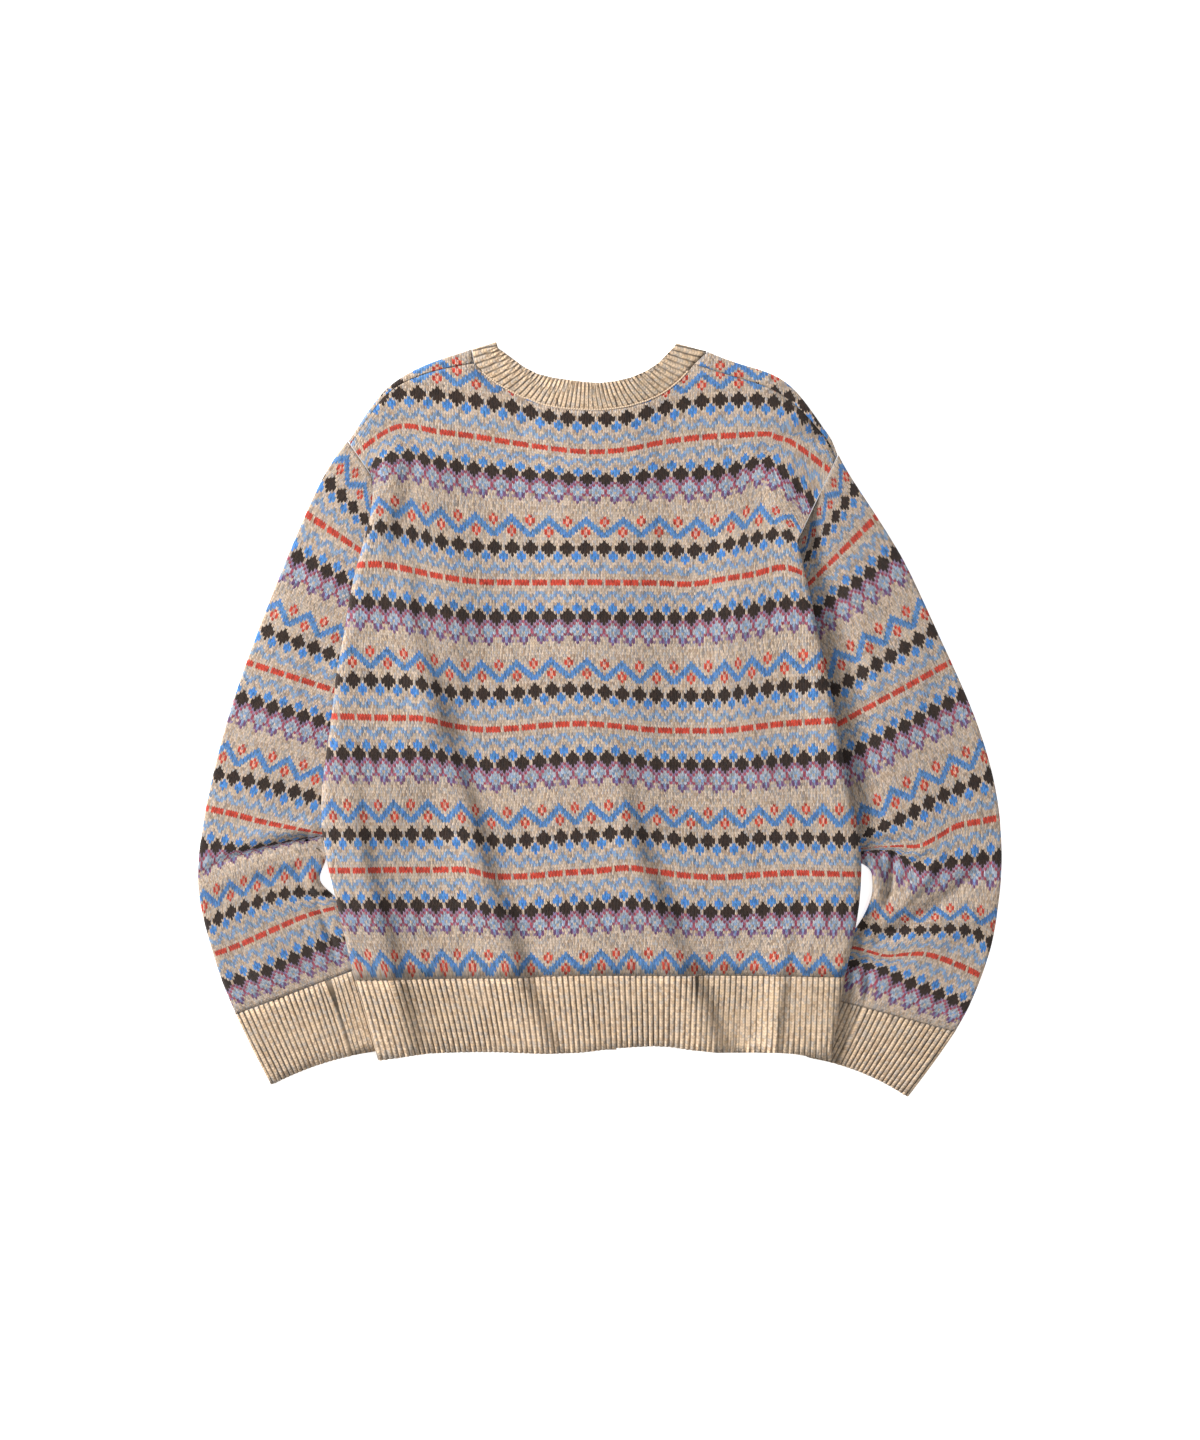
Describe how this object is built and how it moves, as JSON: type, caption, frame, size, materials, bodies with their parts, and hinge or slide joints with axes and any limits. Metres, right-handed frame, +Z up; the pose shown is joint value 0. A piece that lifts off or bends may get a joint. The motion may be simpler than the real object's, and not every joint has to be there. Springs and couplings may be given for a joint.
{
  "type": "nordic cardigan",
  "caption": "Long-sleeved knitted cardigan laid flat with its back up: Fair Isle bands all over, drop shoulders, ribbed neckband, cuffs and hem, and a buttoned front underneath.",
  "frame": {"origin": "on the surface that the cardigan lies on, under the middle of the whole outline's box", "axes": "+Z up, out of the cardigan's back; +Y towards the neck; +X towards the wearer's right arm"},
  "size_m": [0.7241, 0.6786, 0.0199],
  "materials": {
    "fair_isle_knit": "matte",
    "rib_knit": "matte",
    "button": "satin"
  },
  "bodies": {
    "root": {"back_panel": "fair_isle_knit", "front_left": "fair_isle_knit", "front_right": "fair_isle_knit", "sleeve_left": "fair_isle_knit", "sleeve_right": "fair_isle_knit", "cuff_left": "rib_knit", "cuff_right": "rib_knit", "hem_back": "rib_knit", "hem_front_left": "rib_knit", "hem_front_right": "rib_knit", "neckband": "rib_knit", "button_band_left": "rib_knit", "button_band_right": "rib_knit", "button_1": "button", "button_2": "button", "button_3": "button", "button_4": "button", "button_5": "button", "button_6": "button", "button_7": "button"}
  },
  "joints": []
}
